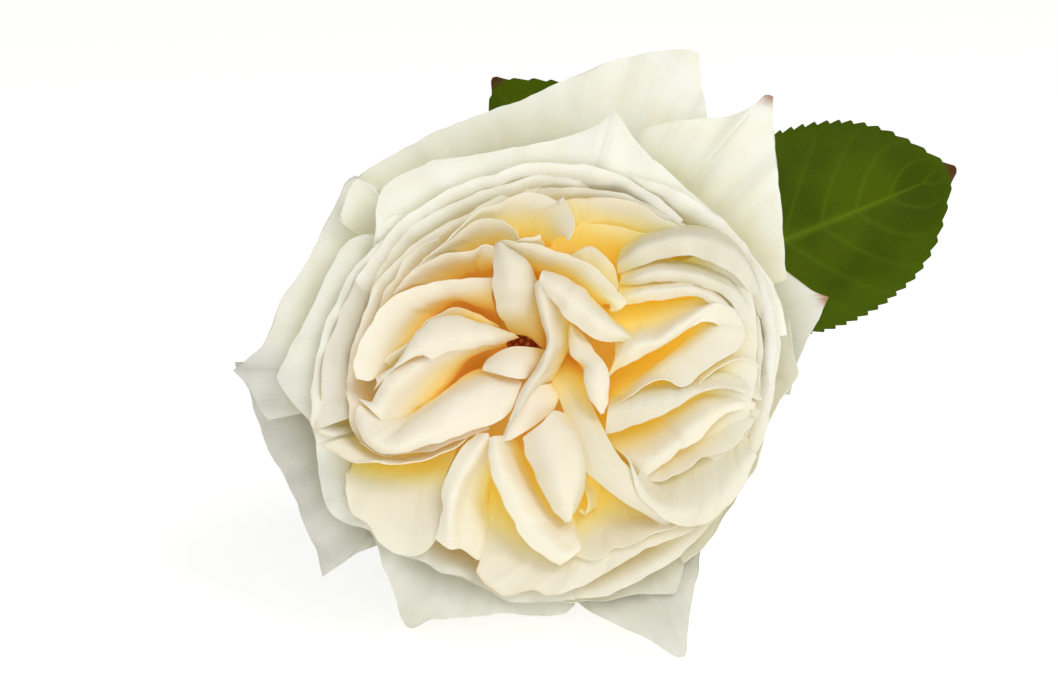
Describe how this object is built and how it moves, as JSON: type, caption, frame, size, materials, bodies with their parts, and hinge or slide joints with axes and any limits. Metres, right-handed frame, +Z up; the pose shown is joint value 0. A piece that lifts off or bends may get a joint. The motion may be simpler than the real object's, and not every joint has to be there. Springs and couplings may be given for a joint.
{
  "type": "cut garden rose",
  "caption": "Cut white garden rose lying on a surface: a full cupped bloom with quartered inner petals, hip and sepals, a prickly stem and one leaf of leaflets.",
  "frame": {"origin": "On the surface that the rose lies on, at the middle of its bounding box.", "axes": "+Z up. The stem runs back along +Y, and the bloom faces -Y and 14 degrees up. +X is to the right as the bloom is seen from its face."},
  "size_m": [0.1464, 0.2536, 0.1124],
  "materials": {
    "petals": "matte",
    "stamens": "matte",
    "calyx": "matte",
    "stem": "satin",
    "leaf": "satin"
  },
  "bodies": {
    "root": {"petals": "petals", "stamens": "stamens", "calyx": "calyx", "stem": "stem", "leaf": "leaf"}
  },
  "joints": []
}
